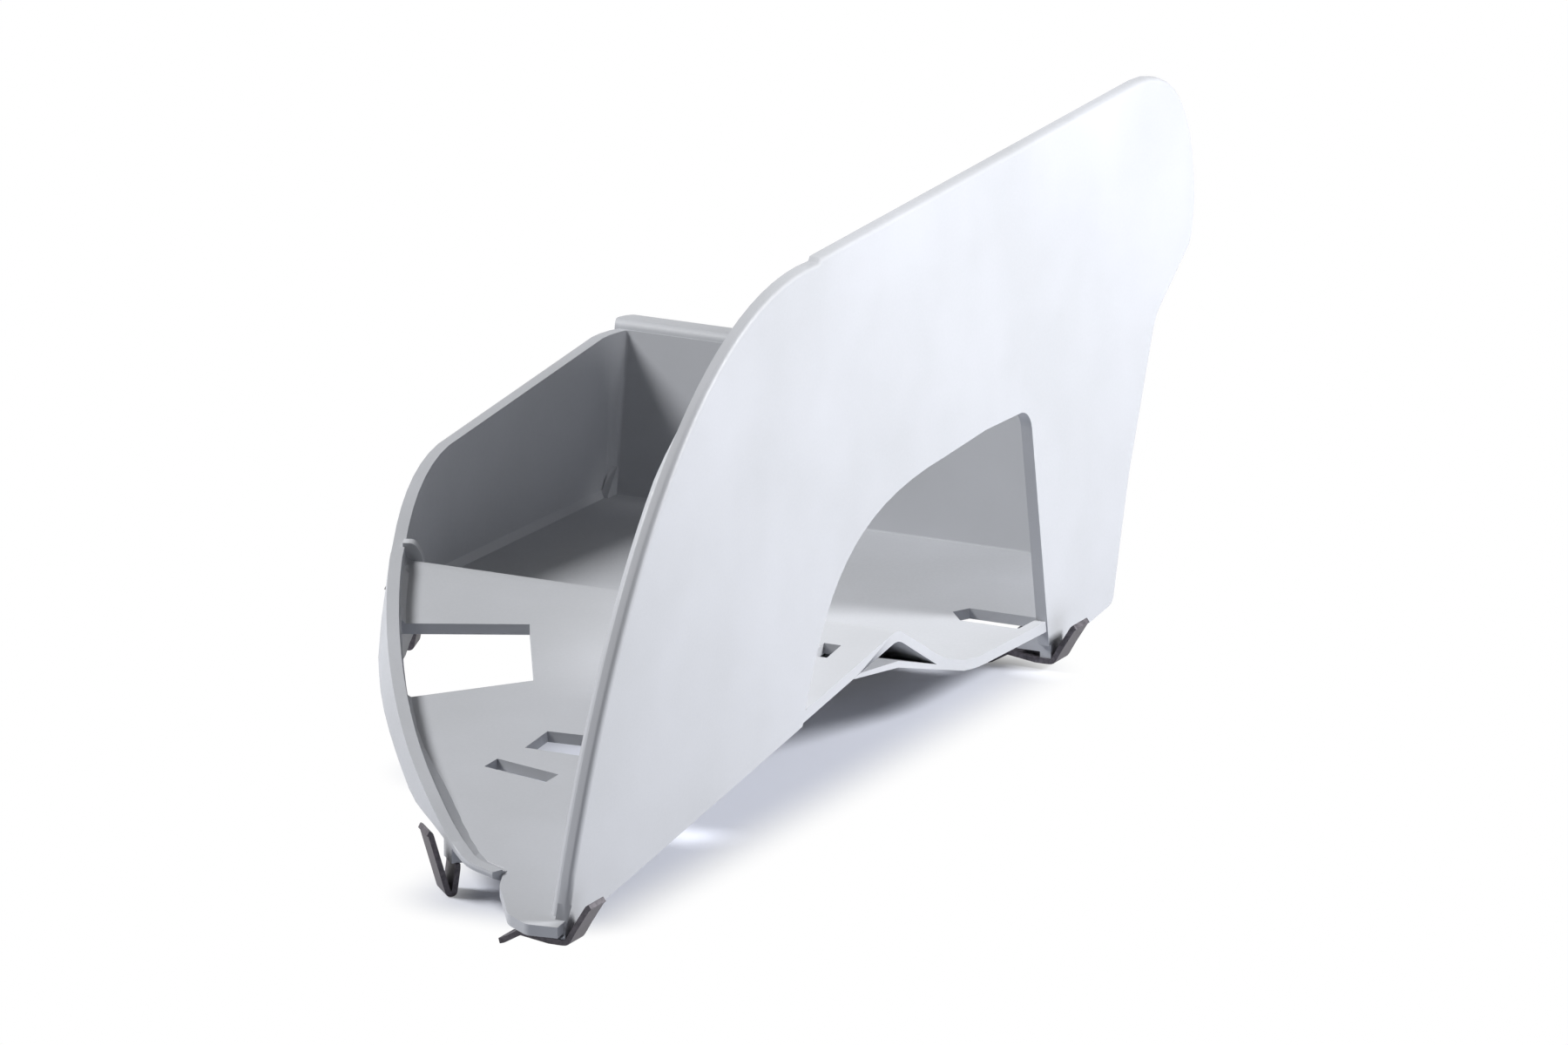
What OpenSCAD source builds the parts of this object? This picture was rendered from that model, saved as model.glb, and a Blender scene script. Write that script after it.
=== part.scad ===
// Corner spoiler of a bumper: a thin-walled scoop moulded in one piece, on four pressed-on spring clips.
// X runs across (the tall side panel is on the +X side), Y runs back from the nose, Z is up.
// The origin is the middle of the part's outline, on the plane that the clips stand on.

/* [Moulding] */
// Wall of the tall side panel
panel_t = 3.6; // [3:0.1:4.4]
// Wall of the inner side and of the back
wall_t = 3.6; // [3:0.1:4.4]
// Plate thickness of the floor
floor_t = 3.2; // [2.6:0.1:3.8]
// Width over both side walls
body_w = 183.2; // [176:0.2:196]

/* [Side panel] */
// Height of the flat top edge at its front end
top_z = 161.6; // [156:0.2:168]
// Rise of the top edge from its front end to its rear end
top_rise = 3; // [0:0.2:5]
// Place along Y where the curved front edge reaches the top edge
front_top_y = 159.5; // [152:0.5:168]
// Small step between the front curve and the top edge
top_step = 1.2; // [0.6:0.1:2]
// Place along Y where the top edge starts to round down
top_end_y = 366; // [360:0.5:372]
// Rearmost point of the fin
fin_y = 405; // [400:0.5:412]
// Height of the rearmost point
fin_z = 119.6; // [114:0.2:126]
// Inner corner under the fin, along Y
waist_y = 379; // [374:0.5:386]
// Inner corner under the fin, height
waist_z = 90; // [86:0.5:94]
// Rear edge of the leg at the floor
leg_y = 350; // [348.5:0.5:353]
// Height of the leg's lower edge
leg_z = 8; // [7:0.1:9]

// Width of the bead behind the front edge
bead_w = 5.5; // [4:0.5:7]
// How far the bead stands in from the panel
bead_t = 3.2; // [2.4:0.1:4]

/* [Arch] */
// Front foot of the arch
arch_front_y = 149; // [140:0.5:158]
// Rear foot of the arch
arch_rear_y = 307.8; // [304:0.5:311]
// Height of the arch's crown
arch_z = 84; // [78:0.5:90]
// Lean of the front jamb
front_lean = 14.5; // [11:0.5:18]
// Lean of the rear jamb
rear_lean = 11; // [8:0.5:14]
// Length of the shoulder between front jamb and crown
shoulder_l = 90; // [76:1:98]
// Depth of the shoulder below the crown
shoulder_h = 22; // [18:0.5:26]
// Rounding between crown and rear jamb
crown_r = 8; // [5:0.5:12]

/* [Floor] */
// Height of the floor's upper face at the nose
nose_z = 8.3; // [7.6:0.1:9]
// Place of the ridge
ridge_y = 210.5; // [204:0.5:216]
// Height of the ridge
ridge_z = 38.9; // [36:0.1:41]
// Rounding of the ridge
ridge_r = 10; // [5:0.5:14]
// Place where the rear slope reaches the low floor
valley_y = 249; // [244:0.5:254]
// Rounding between the rear slope and the low floor
valley_r = 70; // [50:1:75]
// Height where the rear slope reaches the low floor
valley_z = 17.2; // [16.4:0.1:18]
// Height of the low floor's upper face at the back
low_z = 14; // [13.4:0.1:15]
// Thickness of the web that closes the ridge from below
web_t = 2; // [1.6:0.1:2.6]
// Height of the web's lower face under the ridge
web_z = 27.4; // [26.4:0.2:28.4]

/* [Inner wall] */
// Height of the rim over the ramp
rim_h = 5; // [3.6:0.2:7]
// Height of the rim at the nose
nose_rim = 1.6; // [1:0.1:2.4]
// Width of the slope between rim and ramp near the nose
slope_w = 6.3; // [5:0.1:7]
// Height of the slope near the nose
slope_h = 4.4; // [3.6:0.1:4.8]
// Width of the fillet between rim and ramp further back
foot_w = 3.2; // [2.4:0.1:4]
// Height of that fillet
foot_h = 1.6; // [1.2:0.1:2.4]
// Width and height of the fillet at the foot of the rear wall
fillet_w = 2.2; // [1.6:0.1:2.6]
// Thickness of the upturned lip at the nose
lip_t = 1.8; // [1.4:0.1:2.2]
// Height of the wall at the back
back_z = 62.9; // [56:0.1:70]
// How far the wall hangs below the ramp's underside
skirt = 3; // [2:0.1:4]
// How far the bowed wall's foot stands out from its rim
flare = 2.4; // [1.6:0.1:3]
// Height of the wall's lower edge at the back
rear_skirt_z = 9; // [8:0.1:10]
// Outer face of the back, along Y
back_y = 377.6; // [374:0.2:382]
// Outer corner radius between inner wall and back
corner_r = 7; // [6.6:0.2:9]
// How far the back leans out at its top
back_lean = 8; // [4:0.5:10]
// Length of the slanted return that joins the back to the side panel
return_w = 31; // [26:0.5:34]
// Depth of the flange on top of the back
flange_d = 4.5; // [3.5:0.5:8]
// Width of the knob where the rim meets the ridge
knob_w = 5; // [4:0.2:7]
// Length of the knob along the wall
knob_l = 4.5; // [3:0.5:7]
// Height of the knob over the ridge's underside
knob_h = 7.4; // [6.2:0.2:8.6]
// Height of the small gusset in the rear corner
gusset_h = 8.5; // [6:0.5:11]

/* [Slots] */
// Large slot beside the inner wall, along its front edge
slot_a_w = 34; // [30:0.5:36]
// Large slot beside the inner wall, along its free side
slot_a_l = 39.5; // [34:0.5:42]
// Front slit, across
slot_b_w = 22; // [18:0.5:26]
// Front slit, along
slit_l = 6; // [5:0.5:8]
// Bar between the slit and the recess behind it, along
bar_l = 9; // [7:0.5:11]
// Recess behind the bar, along
recess_l = 14; // [11:0.5:16]
// Rear slot, across
slot_c_w = 25; // [20:0.5:26]
// Rear slot, along
slot_c_l = 13.5; // [11:0.5:15]
// Drain hole in the ramp, across
drain_w = 5.5; // [4:0.5:7]
// Drain hole in the ramp, along
drain_l = 9; // [7:0.5:12]

/* [Clips] */
// Strip thickness of the spring clips
clip_t = 1.6; // [1.2:0.1:1.8]
// Strip width of the spring clips
clip_w = 9; // [7:0.5:11]
// Height of the spring leaf on the outer clips
outer_leaf_h = 14; // [12:0.5:16]
// Height of the spring leaf on the inner clips
inner_leaf_h = 19.5; // [17:0.5:22]
// How far a leaf springs out from the wall
leaf_reach = 8; // [7:0.2:9.4]
// Place of the front outer clip along Y
clip_front_y = 8; // [8:0.5:14]
// Place of the rear outer clip along Y
clip_rear_y = 313; // [313:0.5:320]
// Place of the front inner clip along the wall, as a point's Y
clip_nose_y = 39; // [36:0.5:45]
// Place of the rear inner clip along Y
clip_back_y = 247; // [240:1:262]

/* [Hidden] */

// How far one wall runs into the next
lap = 0.5;

// Points of a cubic curve
function bez(a, b, c, d, n) =
    [for (i = [0:n]) let (t = i / n, s = 1 - t)
        s * s * s * a + 3 * s * s * t * b + 3 * s * t * t * c + t * t * t * d];
function unit(v) = v / norm(v);
function mix(a, b, t) = a + (b - a) * t;
function smooth(t) = let (s = min(1, max(0, t))) s * s * (3 - 2 * s);

// Arc of radius r in the corner b of the line a, b, c
function corner(a, b, c, r, n) =
    let (u = unit(a - b), v = unit(c - b),
         half = acos(u * v) / 2,
         reach = r / tan(half),
         centre = b + unit(u + v) * r / sin(half),
         p = b + u * reach - centre,
         q = b + v * reach - centre,
         turn = 180 - 2 * half,
         side = p[0] * q[1] - p[1] * q[0] > 0 ? 1 : -1)
    [for (i = [0:n]) let (g = side * turn * i / n)
        centre + [p[0] * cos(g) - p[1] * sin(g), p[0] * sin(g) + p[1] * cos(g)]];

// An open line of [x, y, radius] with its corners rounded; radius 0 keeps a corner sharp
function round_line(pts, n = 6) =
    [for (i = [0:len(pts) - 1])
        let (p = pts[i], b = [p[0], p[1]])
        each (i == 0 || i == len(pts) - 1 || p[2] == 0
            ? [b]
            : corner([pts[i - 1][0], pts[i - 1][1]], b, [pts[i + 1][0], pts[i + 1][1]], p[2], n))];

// Right-hand normals of an open line of points
function normals(line) =
    [for (i = [0:len(line) - 1])
        let (d = unit(line[min(i + 1, len(line) - 1)] - line[max(i - 1, 0)]))
        [d[1], -d[0]]];

// A strip of thickness t along a centre line
function strip(line, t) =
    let (n = normals(line), m = len(line) - 1)
    concat([for (i = [0:m]) line[i] + n[i] * t / 2],
           [for (i = [m:-1:0]) line[i] - n[i] * t / 2]);

// Extrudes a profile drawn in (y, z) from x0 to x1
module along_x(x0, x1) {
    translate([x0, 0, 0])
        rotate([90, 0, 90])
            linear_extrude(x1 - x0)
                children();
}

// The skin between equal sections, each a list of points in space
module sweep(sections) {
    m = len(sections[0]);
    last = len(sections) - 1;
    points = [for (s = sections) each s];
    sides = [for (i = [0:last - 1], j = [0:m - 1])
        let (k = (j + 1) % m, a = i * m + j, b = i * m + k, c = a + m, d = b + m)
        each [[a, c, d], [a, d, b]]];
    first_cap = [[for (j = [0:m - 1]) j]];
    last_cap = [[for (j = [m - 1:-1:0]) last * m + j]];
    polyhedron(points = points, faces = concat(sides, first_cap, last_cap), convexity = 8);
}

// Floor: one line seen from the side, lifted from nose to ridge and down to the low rear
floor_line = round_line([
    [-2, nose_z - 2 * (ridge_z - nose_z) / ridge_y, 0],
    [ridge_y, ridge_z, ridge_r],
    [valley_y, valley_z, valley_r],
    [back_y, low_z, 0]], 8);
function floor_z(y) = lookup(y, floor_line);
floor_profile = concat(floor_line, [for (i = [len(floor_line) - 1:-1:0]) floor_line[i] - [0, floor_t]]);

// Inner wall and back: one line seen from above, its outer face, from the nose round to the side panel
wall_start = [-33, 23.5];
bow_start = [-45.8, 29.5];
bow_pull = [-99.8, 77];
bow_ease = [-body_w, 224.7];
bow_end = [-body_w, 273];
nose_turn = bez(wall_start, wall_start + [-4, 1.6], bow_start + [4, -3.5], bow_start, 5);
bow = bez(bow_start, bow_pull, bow_ease, bow_end, 24);
return_end = [-panel_t / 2, back_y - return_w];
back_run = round_line([
    [bow_end[0], bow_end[1], 0],
    [-body_w, back_y, corner_r],
    [-panel_t / 2 - return_w, back_y, 12],
    [return_end[0], return_end[1], 0]], 5);
wall_line = concat(
    [for (i = [0:len(nose_turn) - 2]) nose_turn[i]],
    [for (i = [0:len(bow) - 2]) bow[i]],
    back_run);
wall_normal = normals(wall_line);
function past_ridge(y) = min(1, max(0, (y - ridge_y) / (back_y - ridge_y)));
function wall_top(y) = y < ridge_y
    ? floor_z(min(y, ridge_y - ridge_r)) + rim_h
    : mix(floor_z(ridge_y - ridge_r) + rim_h, back_z, 1 - pow(1 - past_ridge(y), 1.9));
function over_ridge(y) = smooth((y - ridge_y + 14) / 30);
function from_nose(y) = smooth((y - 62) / 40);
// The fillet is smaller under the back, where the wall's normal looks along -Y
function rear_foot(n) = mix(fillet_w, 0.7, smooth(-n[1] * 1.5));
function wall_foot(y, n) = mix(mix(slope_w, foot_w, from_nose(y)), rear_foot(n), over_ridge(y));
function wall_foot_h(y, n) = mix(mix(slope_h, foot_h, from_nose(y)), rear_foot(n), over_ridge(y));
function wall_low(y) =
    mix(floor_z(y) - floor_t - skirt, rear_skirt_z, smooth((y - ridge_y + 60) / 60));

// One section of the wall: outer face, rim, inner face, fillet or slope, and the skirt below.
// The last section is mitred, so that it lies inside the side panel
function wall_section(i) =
    let (c = wall_line[i], n = wall_normal[i], y = c[1], fz = floor_z(y),
         side = i == len(wall_line) - 1 ? [0, 1 / n[1]] : n,
         rise = smooth((y - 20) / 45),
         top = mix(fz + nose_rim, wall_top(y), rise),
         low = mix(top - lip_t, wall_low(y), smooth((y - 30) / 55)),
         out = flare * smooth((y - 75) / 70) * (1 - smooth((y - 225) / 60)),
         foot_top = fz + min(wall_foot_h(y, n), top - fz - 0.4),
         inner_low = min(low, fz - 1.8),
         lean = back_lean * max(0, -n[1]))
    [for (p = [[-out, low], [-out * 0.6 - 0.2, low + 0.55 * (top - low)], [0, top], [wall_t, top],
               [wall_t + 0.2, foot_top],
               [wall_t + wall_foot(y, n), fz - lap], [wall_t + lap, fz - floor_t / 2],
               [wall_t, inner_low]])
        [c[0] + side[0] * p[0], c[1] + side[1] * p[0] + lean * (p[1] - low_z) / (back_z - low_z), p[1]]];

// Outline of the floor seen from above: its inner-side edge runs in the middle of the wall
floor_plan = concat(
    round_line([
        [-lap, 0.4, 0],
        [-10, -0.4, 4],
        [-18, 4, 8],
        [-29, 20, 4],
        [wall_start[0] + 1.6, wall_start[1] + 3, 0]], 4),
    [for (i = [1:len(wall_line) - 1])
        wall_line[i] + wall_normal[i] * mix(wall_t + 3, wall_t / 2, smooth((wall_line[i][1] - 34) / 30))],
    [[-lap, return_end[1]]]);

// Side panel outline, with the arch as part of it
front_edge = bez([3.7, nose_z - floor_t + 0.2], [29.9, 85.7], [83.2, 165.4],
    [front_top_y, top_z - top_step], 30);
fin_edge = bez([top_end_y, top_z + top_rise], [top_end_y + 27, top_z + top_rise], [fin_y, fin_z + 27],
    [fin_y, fin_z], 10);
function under(y) = floor_z(y) - floor_t;
function sill(y) = under(y) - 0.4;
panel_outline = concat(
    front_edge,
    [[front_top_y + 0.8, top_z]],
    fin_edge,
    round_line([
        [fin_y, fin_z, 0],
        [fin_y - 2, fin_z - 12, 9],
        [waist_y, waist_z, 14],
        [leg_y + 12, 47, 60],
        [leg_y, 10, 4],
        [leg_y - 16, leg_z, 10],
        [arch_rear_y, leg_z, 0],
        [arch_rear_y - rear_lean - 2, arch_z - 0.6, crown_r],
        [arch_rear_y - 42, arch_z + 0.3, 0]], 7),
    bez([arch_front_y + shoulder_l, arch_z - 1], [arch_front_y + front_lean * 2, arch_z - 2],
        [arch_front_y + front_lean, arch_z - shoulder_h], [arch_front_y, sill(arch_front_y)], 16),
    [[arch_front_y - 4, sill(arch_front_y - 4)], [1.2, sill(1.2)]]);

// Half-round bead behind the panel's front edge, run out to a point at its upper end
bead_n = 22;
bead_gap = 1.4;
edge_normal = normals(front_edge);
function bead_section(i) =
    let (e = front_edge[i], n = edge_normal[i], run = min(1, 0.04 + (bead_n - i) / 6),
         c = e + n * (bead_gap + bead_w / 2))
    concat(
        [for (g = [90:-30:-90])
            let (q = c + n * bead_w / 2 * run * sin(g))
            [-panel_t + lap / 2 - (bead_t * run + lap / 2) * cos(g), q[0], q[1]]]);

// Slots, seen from above
slot_a_at = [-111.5, 125.3];
slot_a_front = [cos(36.9), sin(36.9)];
slot_a_side = [cos(119.6), sin(119.6)];
slot_a_rear = [cos(17.3), sin(17.3)];
slot_b_at = [-70.3, 88.9];
slot_b_turn = -10.5;
slot_c_at = [-panel_t - slot_c_w - 0.4, 295.5];
drain_at = [-16.6, 186.2];
module slot_a_plan(off, grow) {
    corner = slot_a_at + slot_a_w * slot_a_front;
    rear = corner + slot_a_l * slot_a_side;
    intersection() {
        offset(delta = grow)
            polygon([slot_a_at - 14 * slot_a_front, corner, rear, rear - 52 * slot_a_rear]);
        polygon(concat([[0, 0]],
            [for (i = [1:len(wall_line) - 1]) wall_line[i] + wall_normal[i] * (wall_t + off)]));
    }
}

module slot_plan() {
    translate(slot_b_at)
        rotate(slot_b_turn)
            square([slot_b_w, slit_l]);
    translate(slot_b_at + [4.6, slit_l + bar_l])
        polygon([[0.5, 0], [32, 0], [32, recess_l], [1.4, recess_l - 2]]);
    translate(slot_c_at)
        polygon([[6, 0], [slot_c_w, 0], [slot_c_w, slot_c_l], [2.5, slot_c_l], [0, slot_c_l - 6]]);
    translate(drain_at)
        square([drain_w, drain_l]);
}

// Spring clips. Each profile is drawn in (out, z), with out = 0 at the wall's outer face
trough_z = 3;
outer_strip = round_line([
    [-20.6, clip_t / 2, 0],
    [-19.2, clip_t / 2 + 0.4, 0.8],
    [-14, 4.2, 1.6],
    [-5, trough_z, 2],
    [0.6, trough_z, 1.6],
    [3.2, 7.6, 12],
    [leaf_reach - 0.8, outer_leaf_h, 1.2],
    [leaf_reach, outer_leaf_h + 0.6, 0]], 4);
outer_seat_z = trough_z + clip_t / 2;
function pad_z(y) = (y < ridge_y ? under(y) : wall_low(y)) - 1.2;
function inner_strip(y) = round_line([
    [-1.8, pad_z(y), 0],
    [-1.8, pad_z(y) - 1.5, 2],
    [-0.8, clip_t / 2, 0.8],
    [0.9, clip_t / 2, 0.8],
    [2.4, 6, 12],
    [leaf_reach - 2, inner_leaf_h - 0.8, 1],
    [leaf_reach - 1.2, inner_leaf_h - 0.4, 0]], 4);

// Station of the wall line that a clip sits at, by its Y, and the frame there
function station(y) =
    [for (i = [0:len(wall_line) - 2]) if (wall_line[i][1] <= y && wall_line[i + 1][1] > y) i][0];
function wall_at(y) =
    let (i = station(y), a = wall_line[i], b = wall_line[i + 1], d = unit(b - a))
    [mix(a, b, (y - a[1]) / (b[1] - a[1])), atan2(d[1], d[0]) - 90];
module at_wall(y) {
    place = wall_at(y);
    translate([place[0][0], place[0][1], 0])
        rotate(place[1])
            children();
}

// Extrudes a clip profile of the given width, its outer side towards +X of the local frame
module clip_strip(line, w) {
    translate([0, w / 2, 0])
        rotate([90, 0, 0])
            linear_extrude(w)
                polygon(strip(line, clip_t));
}

// The seats for the clips: tabs that stand in the strips' troughs
tab_w = clip_w - 1;
module outer_tab(y, top) {
    translate([-panel_t, y - tab_w / 2, outer_seat_z])
        cube([panel_t, tab_w, top - outer_seat_z]);
}
module inner_pad(y) {
    at_wall(y)
        translate([0.2, -tab_w / 2, pad_z(y)])
            cube([wall_t - 0.4, tab_w, floor_z(y) + 1.1 - pad_z(y)]);
}

module side_panel() {
    along_x(-panel_t, 0)
        polygon(panel_outline);
    sweep([for (i = [0:bead_n]) bead_section(i)]);
}

module floor_plate() {
    intersection() {
        along_x(-body_w, -lap)
            polygon(floor_profile);
        linear_extrude(ridge_z + 5)
            difference() {
                polygon(floor_plan);
                slot_a_plan(0.5, 0);
                slot_plan();
            }
    }
}

// Inner wall and back in one run; the large slot goes right up to the wall
module inner_wall() {
    difference() {
        sweep([for (i = [0:len(wall_line) - 1]) wall_section(i)]);
        linear_extrude(ridge_z + 6)
            slot_a_plan(0.8, 0.2);
    }
}

// Closes the ridge from below and leaves a three-sided tunnel under it
module ridge_web() {
    y0 = ridge_y - 28;
    y1 = valley_y + 5;
    intersection() {
        along_x(-body_w, -lap)
            polygon([[y0, under(y0) + 1], [y0, under(y0) - 0.2], [ridge_y, web_z],
                     [y1, under(y1) - 0.2], [y1, under(y1) + 1], [ridge_y, web_z + web_t]]);
        linear_extrude(ridge_z)
            polygon(floor_plan);
    }
}

module flange() {
    y = back_y - wall_t + back_lean;
    rear = y + wall_t + flange_d;
    end_x = -panel_t / 2 - return_w;
    intersection() {
        along_x(-body_w, end_x)
            polygon(round_line([
                [y + lap, back_z - 6, 0],
                [y + 0.3, back_z - 0.4, 0],
                [y + 0.8, back_z + 2.6, 2.4],
                [rear, back_z + 2.6, 0],
                [rear, back_z + 0.4, 0],
                [y + wall_t + 1, back_z, 2],
                [y + wall_t - lap, back_z - 6, 0]], 4));
        linear_extrude(back_z + 5)
            polygon(round_line([
                [-body_w + wall_t / 2, y - 1, 0],
                [-body_w + 1, y + 3, 3],
                [-body_w + 3, rear + 1, 6],
                [end_x - 3, rear + 1, 4],
                [end_x, y - 4, 0]], 5));
    }
}

// Rounded knob at the end of the rim, and the small gusset in the rear corner
module knob() {
    i = station(ridge_y);
    c = wall_line[i] + wall_normal[i] * (wall_t + knob_w / 2);
    translate([c[0], c[1], ridge_z - floor_t + lap])
        rotate(atan2(wall_normal[i][1], wall_normal[i][0]))
            rotate([90, 0, 0])
                translate([0, 0, -knob_l / 2])
                    linear_extrude(knob_l)
                        polygon(round_line([
                            [-knob_w / 2 - lap, 0, 0],
                            [-knob_w / 2 - lap, knob_h, 0],
                            [0.4, knob_h, 2.6],
                            [knob_w / 2, knob_h - 3.6, 3],
                            [knob_w / 2 + 0.8, 0, 0]], 6));
}

module corner_gusset() {
    x = -body_w + wall_t;
    y = back_y - wall_t;
    translate([x + 3, y, 0])
        rotate([90, 0, -90])
            linear_extrude(2.4)
                polygon([[-1, low_z - 1], [6, low_z - 1], [6, low_z + 1],
                         [0, low_z + gusset_h], [-1, low_z + gusset_h]]);
}

// Block under the low floor that backs the rear outer clip
module rear_seat() {
    translate([-11, clip_rear_y - tab_w / 2, 5.6])
        cube([11 - lap, tab_w, low_z - floor_t + 1 - 5.6]);
}

module shell_solid() {
    side_panel();
    floor_plate();
    inner_wall();
    ridge_web();
    flange();
    knob();
    corner_gusset();
    rear_seat();
    outer_tab(clip_front_y, under(clip_front_y) + 1);
    outer_tab(clip_rear_y, leg_z + 1);
    inner_pad(clip_nose_y);
    inner_pad(clip_back_y);
}

// The part's outline in X and Y, to put the origin in its middle
back_place = wall_at(clip_back_y);
low_x = back_place[0][0] - (leaf_reach - 0.84) * cos(back_place[1]) - clip_w / 2 * abs(sin(back_place[1]));
high_x = leaf_reach + 0.48;
low_y = -0.305;
centre = [(low_x + high_x) / 2, (low_y + fin_y) / 2];

module placed() {
    translate([-centre[0], -centre[1], 0])
        children();
}

module spoiler_shell() {
    color("gainsboro")
        placed()
            shell_solid();
}

module outer_clip(y) {
    color("dimgray")
        placed()
            translate([0, y, 0])
                clip_strip(outer_strip, clip_w);
}

module inner_clip(y) {
    color("dimgray")
        placed()
            at_wall(y)
                mirror([1, 0, 0])
                    clip_strip(inner_strip(y), clip_w);
}

spoiler_shell();
outer_clip(clip_front_y);  // clip_front_outer
outer_clip(clip_rear_y);  // clip_rear_outer
inner_clip(clip_nose_y);  // clip_front_inner
inner_clip(clip_back_y);  // clip_rear_inner
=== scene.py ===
import bpy
import bmesh
import math
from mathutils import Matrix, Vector


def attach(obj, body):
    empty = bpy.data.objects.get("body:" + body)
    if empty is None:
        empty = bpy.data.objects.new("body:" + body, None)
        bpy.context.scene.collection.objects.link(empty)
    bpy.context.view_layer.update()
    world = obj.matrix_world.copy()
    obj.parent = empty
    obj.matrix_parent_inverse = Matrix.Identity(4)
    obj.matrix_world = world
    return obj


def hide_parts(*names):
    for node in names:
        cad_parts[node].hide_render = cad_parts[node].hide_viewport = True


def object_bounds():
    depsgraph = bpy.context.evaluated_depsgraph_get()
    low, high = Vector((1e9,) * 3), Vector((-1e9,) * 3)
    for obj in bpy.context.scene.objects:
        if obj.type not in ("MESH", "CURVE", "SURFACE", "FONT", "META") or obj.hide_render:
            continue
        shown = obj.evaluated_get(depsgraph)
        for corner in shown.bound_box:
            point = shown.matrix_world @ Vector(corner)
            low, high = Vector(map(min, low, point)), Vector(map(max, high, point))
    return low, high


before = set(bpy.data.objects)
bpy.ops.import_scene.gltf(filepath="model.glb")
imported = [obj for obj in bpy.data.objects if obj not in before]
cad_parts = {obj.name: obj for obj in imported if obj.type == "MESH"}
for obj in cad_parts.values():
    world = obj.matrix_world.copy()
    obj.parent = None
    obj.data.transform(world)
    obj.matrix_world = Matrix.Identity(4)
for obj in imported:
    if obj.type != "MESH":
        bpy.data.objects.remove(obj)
cadLow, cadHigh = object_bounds()
mm = 0.001
print("frame loaded,", len(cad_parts), "nodes")


def hexColour(text, alpha=1.0):
    # sRGB hex to the linear colour that the shaders use
    parts = [int(text[i:i + 2], 16) / 255 for i in (1, 3, 5)]
    linear = [c / 12.92 if c <= 0.04045 else ((c + 0.055) / 1.055) ** 2.4 for c in parts]
    return (*linear, alpha)


def addNode(tree, kind, settings=None, inputs=None, links=None):
    # one node, its settings, the values of its sockets, and what feeds them
    node = tree.nodes.new(kind)
    for key, value in (settings or {}).items():
        setattr(node, key, value)
    for key, value in (inputs or {}).items():
        node.inputs[key].default_value = value
    for key, source in (links or {}).items():
        tree.links.new(source, node.inputs[key])
    return node


def newMaterial(name):
    material = bpy.data.materials.new(name)
    material.use_nodes = True
    material.node_tree.nodes.clear()
    return material, material.node_tree


def toneRamp(tree, noise, values):
    # colour from low to high with the noise
    ramp = addNode(tree, "ShaderNodeValToRGB", links={"Fac": noise.outputs["Fac"]})
    for stop, position, colour in zip(ramp.color_ramp.elements, values["toneNoise"], ("low", "high")):
        stop.position = position
        stop.color = hexColour(values[colour])
    return ramp


def sheenRange(tree, noise, values):
    # roughness of the surface with the noise
    fromLow, fromHigh = values["sheenNoise"]
    toLow, toHigh = values["roughness"]
    return addNode(tree, "ShaderNodeMapRange",
                   inputs={"From Min": fromLow, "From Max": fromHigh, "To Min": toLow, "To Max": toHigh},
                   links={"Value": noise.outputs["Fac"]})


def direction(azimuth, elevation):
    # unit vector from the object towards a viewer at that azimuth and elevation, in degrees
    a = math.radians(azimuth)
    e = math.radians(elevation)
    return Vector((math.sin(a) * math.cos(e), -math.cos(a) * math.cos(e), math.sin(e)))


# Moulded ABS in silver grey: a pale, slightly blue grey with a satin sheen and a fine moulded grain
mouldedAbs = {
    "low": "#aaacb0",
    "high": "#b3b5ba",
    "mottleSize": 60,        # mm, slow change of tone over the moulding
    "mottleDetail": 3,
    "mottleRoughness": 0.5,
    "grainSize": 0.9,        # mm, drawn coarser than the real 0.2 mm so that it still shows
    "grainDetail": 2,
    "grainRoughness": 0.6,
    "grainDepth": 0.02,      # mm
    "grainStrength": 0.35,
    "toneNoise": (0.3, 0.7),     # the noise at the low and the high colour
    "sheenNoise": (0.3, 0.7),    # the noise at both ends of the sheen
    "roughness": (0.48, 0.62),   # shader roughness from the grain's hollows to its tops
    "ior": 1.53,
}


def mouldedAbsMaterial(values):
    material, tree = newMaterial("satinMouldedAbs")
    place = addNode(tree, "ShaderNodeTexCoord").outputs["Object"]
    mottle = addNode(tree, "ShaderNodeTexNoise",
                     inputs={"Scale": 1 / (values["mottleSize"] * mm), "Detail": values["mottleDetail"],
                             "Roughness": values["mottleRoughness"]},
                     links={"Vector": place})
    tone = toneRamp(tree, mottle, values)
    grain = addNode(tree, "ShaderNodeTexNoise",
                    inputs={"Scale": 1 / (values["grainSize"] * mm), "Detail": values["grainDetail"],
                            "Roughness": values["grainRoughness"]},
                    links={"Vector": place})
    sheen = sheenRange(tree, grain, values)
    bump = addNode(tree, "ShaderNodeBump",
                   inputs={"Strength": values["grainStrength"], "Distance": values["grainDepth"] * mm},
                   links={"Height": grain.outputs["Fac"]})
    shader = addNode(tree, "ShaderNodeBsdfPrincipled", inputs={"IOR": values["ior"]},
                     links={"Base Color": tone.outputs["Color"], "Roughness": sheen.outputs["Result"],
                            "Normal": bump.outputs["Normal"]})
    addNode(tree, "ShaderNodeOutputMaterial", links={"Surface": shader.outputs["BSDF"]})
    return material


# Phosphated spring steel: a dark, dry grey coat with fine crystals and a weak metal shine on its bends
phosphatedSteel = {
    "low": "#3d3a40",
    "high": "#5e5a60",
    "crystalSize": 1.4,      # mm, drawn coarser than the real 0.05 mm so that it still shows
    "crystalDetail": 4,
    "crystalRoughness": 0.65,
    "crystalDepth": 0.02,    # mm
    "crystalStrength": 0.4,
    "toneNoise": (0.35, 0.65),
    "sheenNoise": (0.3, 0.7),
    "roughness": (0.42, 0.62),
    "metallic": 0.35,        # the coat lets a little of the steel's shine through
}


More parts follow.
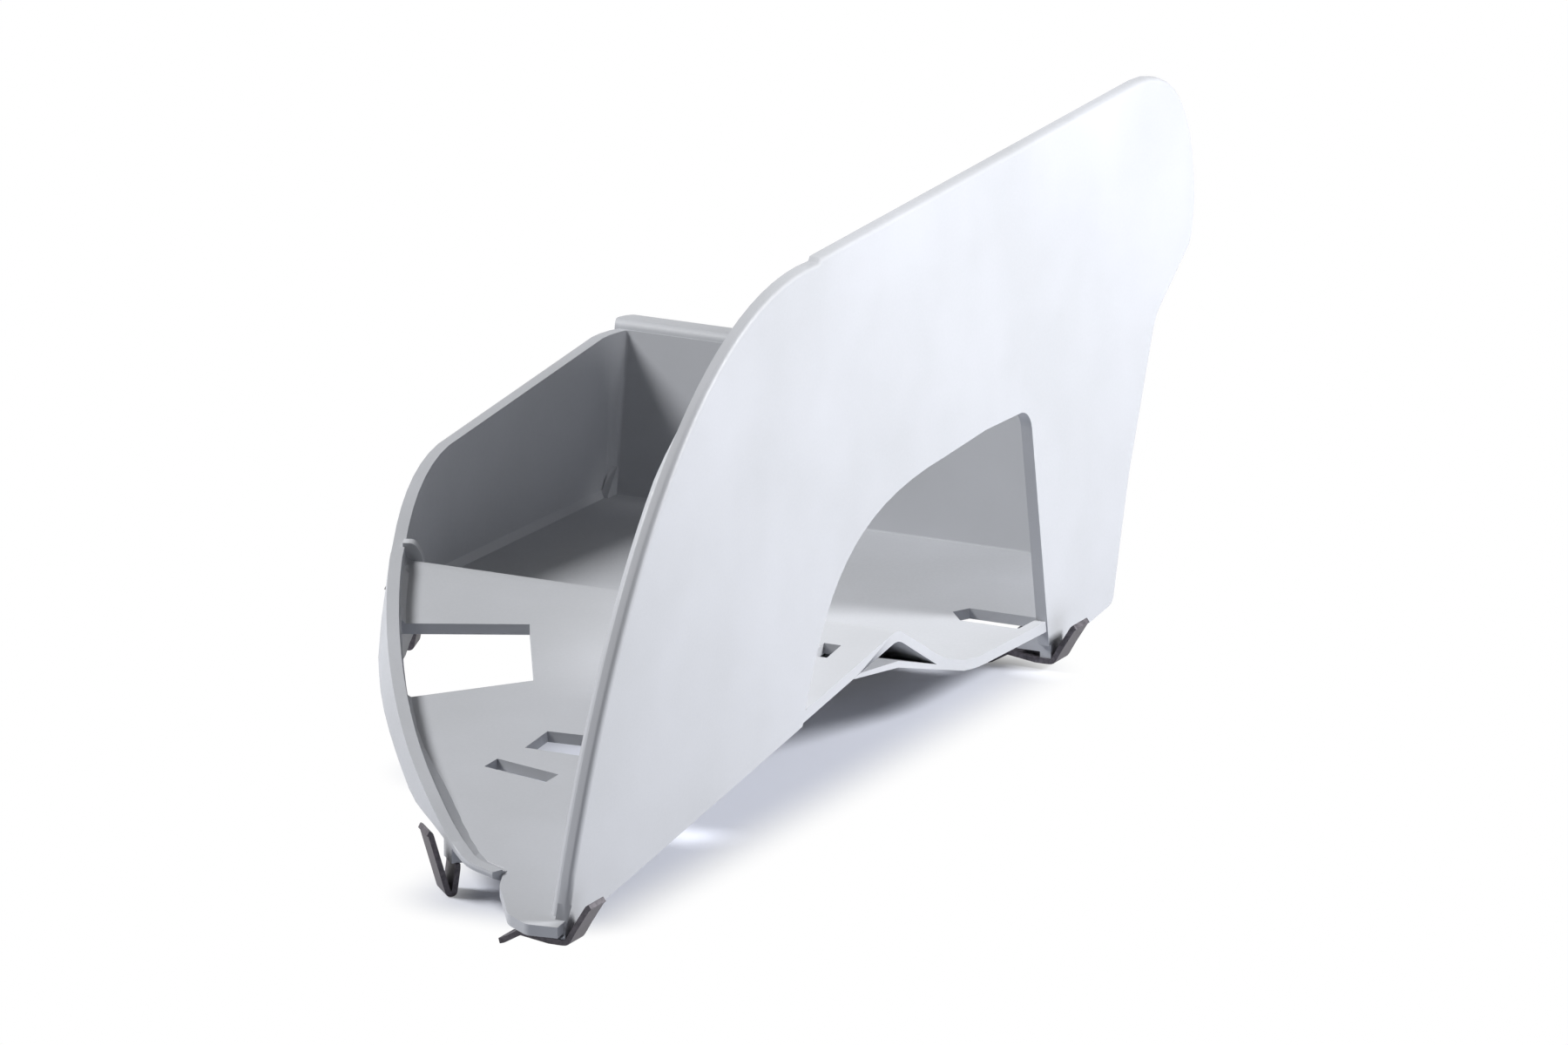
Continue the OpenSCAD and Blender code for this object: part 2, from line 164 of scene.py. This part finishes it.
def phosphatedSteelMaterial(values):
    material, tree = newMaterial("phosphatedSpringSteel")
    place = addNode(tree, "ShaderNodeTexCoord").outputs["Object"]
    crystal = addNode(tree, "ShaderNodeTexNoise",
                      inputs={"Scale": 1 / (values["crystalSize"] * mm), "Detail": values["crystalDetail"],
                              "Roughness": values["crystalRoughness"]},
                      links={"Vector": place})
    tone = toneRamp(tree, crystal, values)
    sheen = sheenRange(tree, crystal, values)
    bump = addNode(tree, "ShaderNodeBump",
                   inputs={"Strength": values["crystalStrength"], "Distance": values["crystalDepth"] * mm},
                   links={"Height": crystal.outputs["Fac"]})
    shader = addNode(tree, "ShaderNodeBsdfPrincipled", inputs={"Metallic": values["metallic"]},
                     links={"Base Color": tone.outputs["Color"], "Roughness": sheen.outputs["Result"],
                            "Normal": bump.outputs["Normal"]})
    addNode(tree, "ShaderNodeOutputMaterial", links={"Surface": shader.outputs["BSDF"]})
    return material


absMaterial = mouldedAbsMaterial(mouldedAbs)
steelMaterial = phosphatedSteelMaterial(phosphatedSteel)
print("materials ready")


# both kinds of piece: which edges are rounded, and how the shading runs over them
edgeFinish = {
    "weld": 0.001,           # mm
    "flatTurn": 0.4,         # degrees between two facets that are one flat face
    "sharpTurn": 26,         # degrees from which an edge is rounded
    "lengthShare": 3.0,      # an edge is rounded from this many radii of length
    "besideShare": 2.2,      # and where the edges beside it have this many
    "smoothTurn": 24,        # degrees up to which the shading runs on
    "segments": 2,
}

mouldedShell = {
    "radius": 0.4,           # mm
    "panelRadius": 1.7,      # mm, around the outer face of the side panel
    "panelSegments": 4,
    "panelTurn": 0.99,       # share of X in the normal of the panel's outer face
    "footTop": 13,           # mm, the feet with the clips' seats lie below this and keep small radii
    "archRear": 112,         # mm along Y, behind this all edges are outer ones
    "downTurn": -0.05,       # in front of it edges whose side face looks down belong to arch and sill
}

springClip = {
    "radius": 0.2,           # mm
}


def mergedCopy(node):
    # the node's own shape with its loose triangles joined to whole faces
    bm = bmesh.new()
    bm.from_mesh(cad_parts[node].data)
    bmesh.ops.remove_doubles(bm, verts=bm.verts, dist=edgeFinish["weld"] * mm)
    bmesh.ops.dissolve_limit(bm, angle_limit=math.radians(edgeFinish["flatTurn"]),
                             verts=bm.verts, edges=bm.edges)
    return bm


def roundEdges(bm, edges, radius, segments, clamp):
    bmesh.ops.bevel(bm, geom=edges, offset=radius * mm, offset_type="OFFSET", affect="EDGES",
                    segments=segments, profile=0.5, material=-1, clamp_overlap=clamp)


def roundRoomyEdges(bm, radius):
    # the sharp edges that are long enough for the radius, with long enough edges beside them
    def roomy(vert, edge):
        return all(other is edge or other.calc_length() > edgeFinish["besideShare"] * radius * mm
                   for other in vert.link_edges)

    edges = [e for e in bm.edges if len(e.link_faces) == 2
             and e.calc_face_angle(0) > math.radians(edgeFinish["sharpTurn"])
             and e.calc_length() > edgeFinish["lengthShare"] * radius * mm
             and roomy(e.verts[0], e) and roomy(e.verts[1], e)]
    roundEdges(bm, edges, radius, edgeFinish["segments"], True)


def finishedPiece(bm, name):
    mesh = bpy.data.meshes.new(name)
    bm.to_mesh(mesh)
    bm.free()
    mesh.shade_smooth()
    mesh.set_sharp_from_angle(angle=math.radians(edgeFinish["smoothTurn"]))
    piece = bpy.data.objects.new(name, mesh)
    bpy.context.scene.collection.objects.link(piece)
    even = piece.modifiers.new("evenShading", "WEIGHTED_NORMAL")
    even.mode = "FACE_AREA"
    even.weight = 100
    even.keep_sharp = True
    return piece


def roundedShell(values):
    # the moulding: a soft radius around the tall panel's outer face, a small one on all other edges
    bm = mergedCopy("spoiler_shell")
    face = max((f for f in bm.faces if f.normal.x > values["panelTurn"]), key=lambda f: f.calc_area())

    def isOuter(edge):
        mid = (edge.verts[0].co + edge.verts[1].co) / 2
        side = next(f for f in edge.link_faces if f is not face)
        outer = side.normal.z > values["downTurn"] or mid.y > values["archRear"] * mm
        return outer and mid.z > values["footTop"] * mm

    outline = [e for e in face.edges if isOuter(e)]
    roundEdges(bm, outline, values["panelRadius"], values["panelSegments"], False)
    roundRoomyEdges(bm, values["radius"])
    return finishedPiece(bm, "moulded_shell")


def roundedClip(node, values):
    bm = mergedCopy(node)
    roundRoomyEdges(bm, values["radius"])
    return finishedPiece(bm, "spring_" + node)


for node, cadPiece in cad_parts.items():
    isShell = node == "spoiler_shell"
    material = absMaterial if isShell else steelMaterial
    cadPiece.data.materials.clear()
    cadPiece.data.materials.append(material)
    piece = roundedShell(mouldedShell) if isShell else roundedClip(node, springClip)
    piece.data.materials.append(material)
    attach(piece, "root")
    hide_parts(node)
    print(piece.name, len(piece.data.polygons), "faces")


studio = {
    "floorSize": 12.0,       # m
    "floorColour": "#cdd0da",
    "white": "#ffffff",      # what the camera and reflections see of the floor and the world
    "nearWhite": 0.05,       # share of that white in the patches
    "patches": (             # middle and half size in m, where the floor shows its own shading
        ((0.058, -0.032, 0.0), (0.014, 0.130, 1.0)),     # beside the tall panel
        ((-0.001, -0.036, 0.0), (0.012, 0.022, 1.0)),    # under the front slots
        ((-0.084, 0.158, 0.0), (0.010, 0.038, 1.0)),     # beside the rear of the inner wall
        ((-0.048, 0.190, 0.0), (0.044, 0.006, 1.0)),     # behind the back
    ),
    "patchFade": 0.030,      # m beyond a patch, all white from here
    "worldColour": "#eef1f6",
    "worldLight": 0.006,     # strength of the light from all around
}

# area lamps: azimuth and elevation as seen from the object in degrees, distance and size in m, power in W
lamps = {
    "keyLamp": {"azimuth": -71, "elevation": 42, "distance": 1.6, "size": 0.6, "power": 33.5},
    "sideLamp": {"azimuth": 107, "elevation": 25, "distance": 0.8, "size": 0.2, "power": 8.7},
}

view = {
    "azimuth": 27.0,         # degrees
    "elevation": 16.2,       # degrees
    "lens": 400,             # mm
    "sensor": 36,            # mm
    "reach": 100,            # m
    "distance": 4.948,       # m
    "target": (0.0739, -0.0352, 0.080),     # m
}


def distanceToBox(tree, place, middle, half):
    # how far a point of the floor is outside a box
    fromMiddle = addNode(tree, "ShaderNodeVectorMath", {"operation": "SUBTRACT"}, {1: middle}, {0: place})
    aside = addNode(tree, "ShaderNodeVectorMath", {"operation": "ABSOLUTE"}, links={0: fromMiddle.outputs[0]})
    beyond = addNode(tree, "ShaderNodeVectorMath", {"operation": "SUBTRACT"},
                     {1: half}, {0: aside.outputs[0]})
    outside = addNode(tree, "ShaderNodeVectorMath", {"operation": "MAXIMUM"},
                      {1: (0, 0, 0)}, {0: beyond.outputs[0]})
    return addNode(tree, "ShaderNodeVectorMath", {"operation": "LENGTH"},
                   links={"Vector": outside.outputs[0]}).outputs["Value"]


def buildFloor(values):
    bm = bmesh.new()
    bmesh.ops.create_grid(bm, x_segments=1, y_segments=1, size=values["floorSize"] / 2)
    mesh = bpy.data.meshes.new("studioFloor")
    bm.to_mesh(mesh)
    bm.free()
    floor = bpy.data.objects.new("studioFloor", mesh)
    bpy.context.scene.collection.objects.link(floor)
    material, tree = newMaterial("whiteSweep")
    path = addNode(tree, "ShaderNodeLightPath")
    seen = addNode(tree, "ShaderNodeMath", {"operation": "MAXIMUM"},
                   links={0: path.outputs["Is Camera Ray"], 1: path.outputs["Is Glossy Ray"]})
    place = addNode(tree, "ShaderNodeTexCoord").outputs["Object"]
    distance, *others = [distanceToBox(tree, place, *patch) for patch in values["patches"]]
    for other in others:
        distance = addNode(tree, "ShaderNodeMath", {"operation": "MINIMUM"},
                           links={0: distance, 1: other}).outputs["Value"]
    nearShare = addNode(tree, "ShaderNodeMapRange", {"interpolation_type": "SMOOTHSTEP"},
                        {"From Min": 0.0, "From Max": values["patchFade"],
                         "To Min": values["nearWhite"], "To Max": 1.0},
                        {"Value": distance})
    share = addNode(tree, "ShaderNodeMath", {"operation": "MULTIPLY"},
                    links={0: seen.outputs[0], 1: nearShare.outputs["Result"]})
    paper = addNode(tree, "ShaderNodeBsdfDiffuse", inputs={"Color": hexColour(values["floorColour"])})
    white = addNode(tree, "ShaderNodeEmission", inputs={"Color": hexColour(values["white"]), "Strength": 1.0})
    mixed = addNode(tree, "ShaderNodeMixShader", links={"Fac": share.outputs[0]})
    tree.links.new(paper.outputs[0], mixed.inputs[1])
    tree.links.new(white.outputs[0], mixed.inputs[2])
    addNode(tree, "ShaderNodeOutputMaterial", links={"Surface": mixed.outputs[0]})
    mesh.materials.append(material)


def buildWorld(values):
    world = bpy.data.worlds.new("studioWorld")
    world.use_nodes = True
    tree = world.node_tree
    tree.nodes.clear()
    path = addNode(tree, "ShaderNodeLightPath")
    seen = addNode(tree, "ShaderNodeMath", {"operation": "MAXIMUM"},
                   links={0: path.outputs["Is Camera Ray"], 1: path.outputs["Is Glossy Ray"]})
    light = addNode(tree, "ShaderNodeBackground",
                    inputs={"Color": hexColour(values["worldColour"]), "Strength": values["worldLight"]})
    white = addNode(tree, "ShaderNodeBackground",
                    inputs={"Color": hexColour(values["white"]), "Strength": 1.0})
    mixed = addNode(tree, "ShaderNodeMixShader", links={"Fac": seen.outputs[0]})
    tree.links.new(light.outputs[0], mixed.inputs[1])
    tree.links.new(white.outputs[0], mixed.inputs[2])
    addNode(tree, "ShaderNodeOutputWorld", links={"Surface": mixed.outputs[0]})
    bpy.context.scene.world = world


def aimed(obj, place, target):
    obj.location = place
    obj.rotation_euler = (Vector(target) - Vector(place)).to_track_quat("-Z", "Y").to_euler()
    bpy.context.scene.collection.objects.link(obj)


buildFloor(studio)
buildWorld(studio)
middle = (cadLow + cadHigh) / 2
for name, values in lamps.items():
    lamp = bpy.data.lights.new(name, "AREA")
    lamp.shape = "DISK"
    lamp.size = values["size"]
    lamp.energy = values["power"]
    place = middle + direction(values["azimuth"], values["elevation"]) * values["distance"]
    aimed(bpy.data.objects.new(name, lamp), place, middle)

camera = bpy.data.cameras.new("camera")
camera.lens = view["lens"]
camera.sensor_width = view["sensor"]
camera.clip_end = view["reach"]
cameraObject = bpy.data.objects.new("camera", camera)
target = Vector(view["target"])
aimed(cameraObject, target + direction(view["azimuth"], view["elevation"]) * view["distance"], target)
bpy.context.scene.camera = cameraObject
bpy.context.scene.view_settings.view_transform = "Standard"
print("studio ready")
